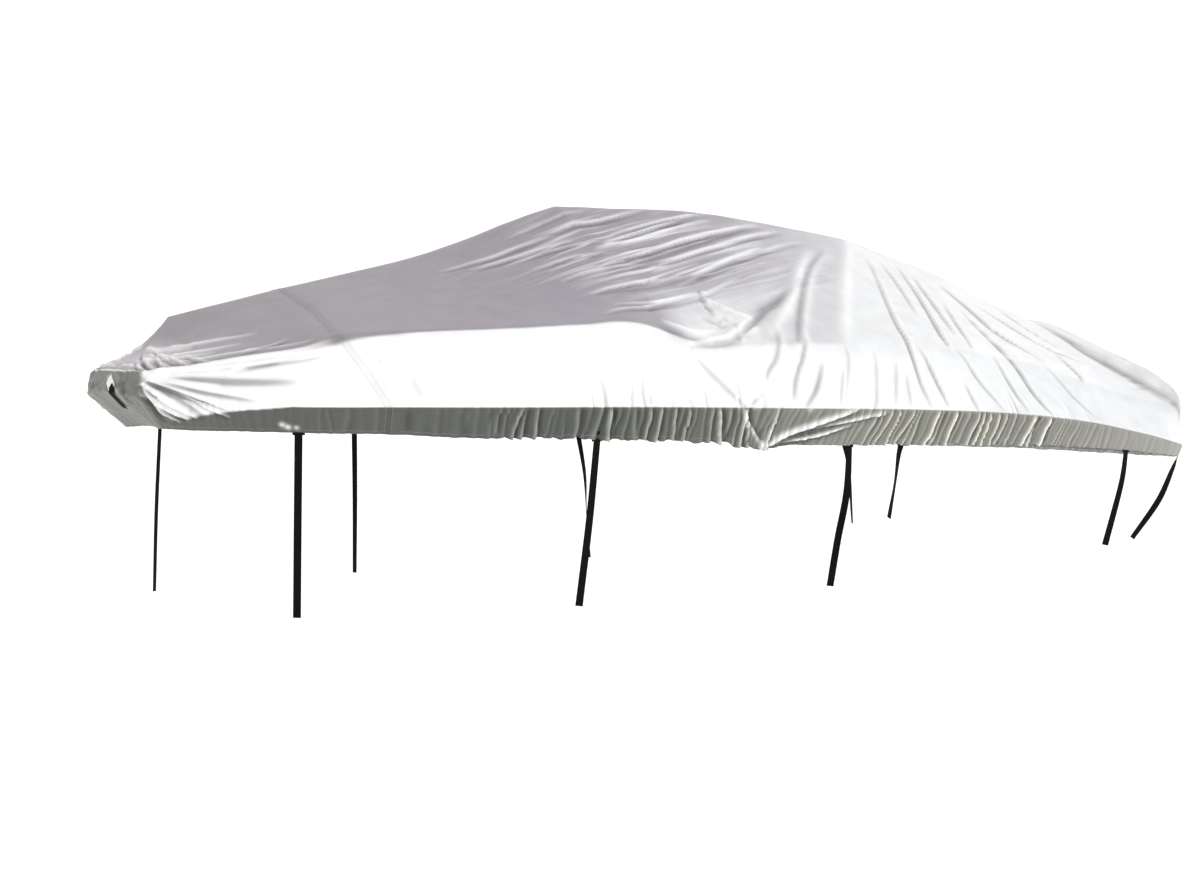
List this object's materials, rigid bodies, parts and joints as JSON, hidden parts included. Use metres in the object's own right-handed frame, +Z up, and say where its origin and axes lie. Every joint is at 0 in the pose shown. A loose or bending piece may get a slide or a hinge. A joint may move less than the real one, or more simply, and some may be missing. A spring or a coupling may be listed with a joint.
{
  "type": "boat cover",
  "caption": "Fitted silver trailering cover for a V-hull runabout, with a cross seam at the bow, a gathered hem tucked under the rail and black webbing tie-down straps.",
  "frame": {"origin": "on the centreline, just under the cloth of the level ridge at mid-length, where the boat's structure holds the cover up", "axes": "+X aft along the centreline, +Y to starboard, +Z up"},
  "size_m": [5.3691, 2.1953, 1.7274],
  "materials": {
    "cover_cloth": "silver-grey coated polyester, plain weave, soft satin sheen",
    "webbing": "black woven polypropylene webbing, matt"
  },
  "bodies": {
    "root": {"bow_panel": "cover_cloth", "main_panel": "cover_cloth", "bow_patch": "cover_cloth", "strap_bow": "webbing", "strap_1_port": "webbing", "strap_1_tab_port": "webbing", "strap_1_starboard": "webbing", "strap_1_tab_starboard": "webbing", "strap_2_port": "webbing", "strap_2_tab_port": "webbing", "strap_2_starboard": "webbing", "strap_2_tab_starboard": "webbing", "strap_3_port": "webbing", "strap_3_tab_port": "webbing", "strap_3_starboard": "webbing", "strap_3_tab_starboard": "webbing", "strap_4_port": "webbing", "strap_4_tab_port": "webbing", "strap_4_starboard": "webbing", "strap_4_tab_starboard": "webbing", "strap_5_port": "webbing", "strap_5_tab_port": "webbing", "strap_5_starboard": "webbing", "strap_5_tab_starboard": "webbing"}
  },
  "joints": []
}
